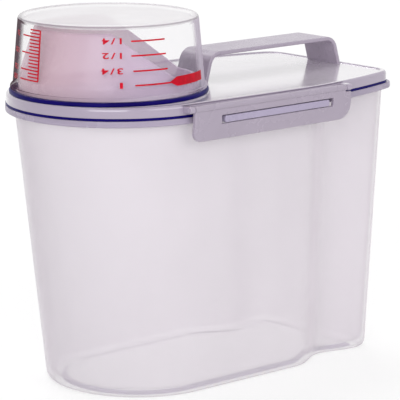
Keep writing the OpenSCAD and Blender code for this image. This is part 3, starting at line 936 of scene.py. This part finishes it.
class BIN_OT_markings(bpy.types.Operator):
    """Printed fractions, banner and scale on the measuring cup"""
    bl_idname = "rice_bin.markings"
    bl_label = "Cup markings"
    bl_options = {"REGISTER", "UNDO"}

    def execute(self, context):
        s, p = prepared(context)
        bm = bmesh.new()

        def on_cup(heading, z):
            """Point on the cup's wall in a direction, at height z above the rim."""
            r = p.cup_wall_r(z) + s.ink_lift
            a = radians(heading)
            return (p.spout_x + r * cos(a), r * sin(a), p.cup_z + z)

        def stroke(a0, a1, z0, z1, low=None, high=None):
            """Strip of ink from angle a0 to a1; low and high may change along it."""
            rows = []
            for t in spaced(0, 1, max(1, int(abs(a1 - a0) / STROKE_STEP))):
                a = mix(a0, a1, t)
                rows.append([bm.verts.new(on_cup(a, low(t) if low else z0)),
                             bm.verts.new(on_cup(a, high(t) if high else z1))])
            for a, b in zip(rows, rows[1:]):
                bm.faces.new((a[0], b[0], b[1], a[1]))

        def write(text, height, width, heading, z):
            """Figures printed for a cup that stands on its closed end."""
            curve = bpy.data.curves.new("figures", "FONT")
            curve.body = text
            curve.size = height / CAP_H
            curve.offset = BOLDER * height
            curve.space_character = WIDER_SPACING
            curve.resolution_u = CURVE_STEPS
            source = added("figures", curve)
            bpy.context.view_layer.update()
            flat = source.to_mesh()
            left, right = (pick(v.co.x for v in flat.vertices) for pick in (min, max))
            scale = width / (right - left)
            r = p.cup_wall_r(z)
            verts = []
            for v in flat.vertices:
                across = degrees((v.co.x - (left + right) / 2) * scale / r)
                verts.append(bm.verts.new(on_cup(heading - across, z + height / 2 - v.co.y)))
            for face in flat.polygons:
                bm.faces.new([verts[i] for i in face.vertices])
            source.to_mesh_clear()
            bpy.data.objects.remove(source)
            bpy.data.curves.remove(curve)

        half = LINE_T / 2 * MM
        for text, width, heading, z, a0, a1 in FRACTIONS:
            z *= MM
            stroke(a0, a1, z - half, z + half)
            write(text, FRACTION_H * MM, width * MM, heading, z + FRACTION_RISE * MM)
        mid, tall = BANNER_Z * MM, BANNER_H / 2 * MM
        stroke(BANNER_TIP, BANNER_START, 0, 0, lambda t: mid - tall * t, lambda t: mid + tall * t)
        stroke(BANNER_START, BANNER_END, mid - tall, mid + tall)

        half = TICK_T / 2 * MM
        heights = [SCALE_TOP * MM - k * s.tick_pitch for k in range(SCALE_TICKS)]
        stroke(SPINE_START, SPINE_END, heights[-1], heights[0])
        for k, z in enumerate(heights):
            label = SCALE_LABELS.get(k)
            stroke(TICK_START, LONG_TICK_END if label else TICK_END, z - half, z + half)
            if label:
                write(label, LABEL_H * MM, LABEL_PITCH * MM * len(label), LABEL_AT, z)
        piece("cup_markings", bm, ["ink_red"], "cup")
        return {"FINISHED"}


class BIN_OT_handle(bpy.types.Operator):
    """Carry handle: a bent strap with rounded edges"""
    bl_idname = "rice_bin.handle"
    bl_label = "Carry handle"
    bl_options = {"REGISTER", "UNDO"}

    def execute(self, context):
        s, p = prepared(context)
        mid = (p.handle_x0 + p.handle_x1) / 2
        edge_r, sink = 0.7 * MM, 0.01 * MM

        def outline(d):
            outer = p.handle_side(d)
            inner = p.handle_side(s.strap_t - d)
            return outer + inner[::-1]

        def place(u, v, w):
            return (mid + u, w, p.panel_z - sink + v)

        bm = bmesh.new()
        plate(bm, [outline], place, s.handle_w / 2, edge_r, EDGE_STEPS + 1)
        piece("strap_handle", bm, ["clasp_lilac"], "bin", ["carry_handle"])
        return {"FINISHED"}


class BIN_OT_latches(bpy.types.Operator):
    """Two latches with their locking slots and hinge barrels"""
    bl_idname = "rice_bin.latches"
    bl_label = "Latches"
    bl_options = {"REGISTER", "UNDO"}

    def execute(self, context):
        s, p = prepared(context)
        low = p.hinge_z - s.latch_h
        notch = p.hinge_z - s.barrel_r - 2 * s.run_gap
        small, edge_r, outline_steps = 0.3 * MM, 0.5 * MM, 8

        def outline(d):
            x0, x1, x2 = p.latch_x0 + d, p.latch_x1 - d, p.barrel_x1 - d
            return eased([(x0, low + d, s.latch_corner_r - d),
                          (x1, low + d, s.latch_end_r - d), (x1, notch - d, small),
                          (x2, notch - d, small), (x2, p.hinge_z, small),
                          (x0, p.hinge_z, small)], outline_steps)

        def slot(d):
            u = s.slot_len / 2 + d
            z0, z1 = p.slot_z - d, p.slot_z + s.slot_h + d
            return rounded_box(p.slot_mid_x - u, p.slot_mid_x + u, z0, z1, edge_r)

        for side, name in ((-1, "near_latch"), (1, "far_latch")):

            def place(u, v, w, side=side):
                return (u, side * (p.latch_y + s.latch_t / 2 + w), v)

            bm = bmesh.new()
            plate(bm, [outline, slot], place, s.latch_t / 2, edge_r)
            # The plate is cut level with the flange's underside and bent in below the cut
            bmesh.ops.bisect_plane(bm, geom=bm.verts[:] + bm.edges[:] + bm.faces[:],
                                   plane_co=(0, 0, p.flange_z), plane_no=(0, 0, 1))
            for vert in bm.verts:
                below = max(0.0, (p.flange_z - vert.co.z) / (p.flange_z - low))
                vert.co.y -= side * s.latch_tuck * below
            barrel = eased([(0, p.latch_x0, 0), (s.barrel_r, p.latch_x0, small),
                            (s.barrel_r, p.barrel_x1, small), (0, p.barrel_x1, 0)])
            turn(bm, barrel, lengthwise(side * p.hinge_y, p.hinge_z), BARREL_STEPS)
            piece(name + "_bar", bm, ["clasp_lilac"], name, [name])
        return {"FINISHED"}


# --- Stage ---

CAMERA_PLACE = (-0.8701, -0.99493, 0.3688)
CAMERA_HEADING, CAMERA_TILT, CAMERA_ROLL = -41.38, 78.08, -0.07  # degrees
SENSOR_W, FOCAL_LENGTH = 36, 225  # millimetres
CLIP_END = 50
LAMPS = (  # name, place, size in metres, power in watts and colour
    ("key_lamp", (0.3, -1.75, 0.9), 1.2, 8.5, (1, 0.99, 0.98)),
    ("fill_lamp", (-1.4, -1.1, 0.7), 1.2, 14, (0.99, 0.99, 1)),
    ("back_lamp", (0.3, 1.0, 2.0), 1.4, 20, (1, 1, 1)),
)
LAMPS_AIM = (0, 0, 0.09)
WHITE = (1, 1, 1, 1)
WORLD_LIGHT, WORLD_SHOWN = 0.48, 1.0
FLOOR_INNER_R, FLOOR_R, FLOOR_STEPS = 0.3, 6.0, 64
FLOOR_LIT = (0.8, 0.8, 0.8, 1)  # colour of the floor in the light that it throws back
FLOOR_SHOWN = (0.35, 0.35, 0.35, 1)  # and as the camera sees it, under the glow
GLOW_FROM, GLOW_TO = 0.5, 3.5  # distances from the bin between which the floor's glow rises
GLOW_NEAR, GLOW_FAR = 0.68, 0.86


def by_ray(tree, lighting, shown, output):
    """Sends the shader shown to camera, glossy and transmission rays, and lighting to others."""
    path = node(tree, "ShaderNodeLightPath")
    last = path.outputs["Is Camera Ray"]
    for ray in ("Is Glossy Ray", "Is Transmission Ray"):
        most = node(tree, "ShaderNodeMath", operation="MAXIMUM")
        tree.links.new(last, most.inputs[0])
        tree.links.new(path.outputs[ray], most.inputs[1])
        last = most.outputs[0]
    blend = node(tree, "ShaderNodeMixShader")
    tree.links.new(last, blend.inputs[0])
    tree.links.new(lighting.outputs[0], blend.inputs[1])
    tree.links.new(shown.outputs[0], blend.inputs[2])
    tree.links.new(blend.outputs[0], output.inputs["Surface"])


def floor_finish():
    """White floor that keeps a soft contact shadow."""
    m = bpy.data.materials.new("floor_white")
    m.use_nodes = True
    tree = m.node_tree
    tree.nodes.clear()
    lighting = node(tree, "ShaderNodeBsdfDiffuse", Color=FLOOR_LIT)
    pale = node(tree, "ShaderNodeBsdfDiffuse", Color=FLOOR_SHOWN)
    glow = node(tree, "ShaderNodeEmission")
    coords = node(tree, "ShaderNodeTexCoord")
    reach = node(tree, "ShaderNodeVectorMath", operation="LENGTH")
    level = node(tree, "ShaderNodeMapRange", interpolation_type="SMOOTHSTEP",
                 From_Min=GLOW_FROM, From_Max=GLOW_TO, To_Min=GLOW_NEAR, To_Max=GLOW_FAR)
    shown = node(tree, "ShaderNodeAddShader")
    link = tree.links.new
    link(coords.outputs["Object"], reach.inputs[0])
    link(reach.outputs["Value"], level.inputs["Value"])
    link(level.outputs["Result"], glow.inputs["Strength"])
    link(pale.outputs[0], shown.inputs[0])
    link(glow.outputs[0], shown.inputs[1])
    by_ray(tree, lighting, shown, node(tree, "ShaderNodeOutputMaterial"))
    return m


class BIN_OT_stage(bpy.types.Operator):
    """Camera, floor, lamps and world"""
    bl_idname = "rice_bin.stage"
    bl_label = "Stage"
    bl_options = {"REGISTER", "UNDO"}

    def execute(self, context):
        scene = context.scene
        camera = added("camera", bpy.data.cameras.new("camera"))
        camera.data.sensor_width = SENSOR_W
        camera.data.lens = FOCAL_LENGTH
        camera.data.clip_end = CLIP_END
        camera.location = CAMERA_PLACE
        turns = ((CAMERA_HEADING, "Z"), (CAMERA_TILT, "X"), (CAMERA_ROLL, "Z"))
        heading, tilt, roll = (Matrix.Rotation(radians(a), 4, axis) for a, axis in turns)
        camera.rotation_euler = (heading @ tilt @ roll).to_euler()
        scene.camera = camera

        bm = bmesh.new()
        rows = skin(bm, [lifted(arc(0, 0, r, 0, 360, FLOOR_STEPS)[:-1], 0)
                         for r in (FLOOR_INNER_R, FLOOR_R)])
        bm.faces.new(rows[0])
        mesh = bpy.data.meshes.new("floor")
        bm.to_mesh(mesh)
        bm.free()
        mesh.materials.append(floor_finish())
        floor = added("floor", mesh)

        for name, place, size, power, rgb in LAMPS:
            lamp = bpy.data.lights.new(name, "AREA")
            lamp.size = size
            lamp.energy = power
            lamp.color = rgb
            obj = added(name, lamp)
            obj.location = place
            aim = Vector(LAMPS_AIM) - Vector(place)
            obj.rotation_euler = aim.to_track_quat("-Z", "Y").to_euler()

        world = bpy.data.worlds.new("studio")
        world.use_nodes = True
        scene.world = world
        tree = world.node_tree
        tree.nodes.clear()
        lighting, shown = (node(tree, "ShaderNodeBackground", Color=WHITE, Strength=level)
                           for level in (WORLD_LIGHT, WORLD_SHOWN))
        by_ray(tree, lighting, shown, node(tree, "ShaderNodeOutputWorld"))
        scene.view_settings.view_transform = "Standard"
        return {"FINISHED"}


# --- Panel and start ---

class BIN_PT_panel(bpy.types.Panel):
    """Buttons that build the bin's pieces"""
    bl_idname = "BIN_PT_panel"
    bl_label = "Rice Bin"
    bl_space_type = "VIEW_3D"
    bl_region_type = "UI"
    bl_category = "Rice Bin"

    def draw(self, context):
        for operator in PIECES:
            self.layout.operator(operator.bl_idname)
        for group in (context.scene.bin_sizes, context.scene.bin_colours):
            for key in group.__annotations__:
                self.layout.prop(group, key)


PIECES = (BIN_OT_container, BIN_OT_lid, BIN_OT_seals, BIN_OT_spout, BIN_OT_cup, BIN_OT_markings,
          BIN_OT_handle, BIN_OT_latches, BIN_OT_stage)


def register():
    """Registers the classes and gives the scene its sizes and colours."""
    for cls in (BinSizes, BinColours, *PIECES, BIN_PT_panel):
        bpy.utils.register_class(cls)
    bpy.types.Scene.bin_sizes = PointerProperty(type=BinSizes)
    bpy.types.Scene.bin_colours = PointerProperty(type=BinColours)


def unregister():
    """Takes the sizes, the colours and the classes away again."""
    del bpy.types.Scene.bin_colours
    del bpy.types.Scene.bin_sizes
    for cls in (BIN_PT_panel, *reversed(PIECES), BinColours, BinSizes):
        bpy.utils.unregister_class(cls)


def main():
    """Builds every piece and the stage."""
    register()
    for operator in PIECES:
        group, name = operator.bl_idname.split(".")
        getattr(getattr(bpy.ops, group), name)()


if __name__ == "__main__":
    main()
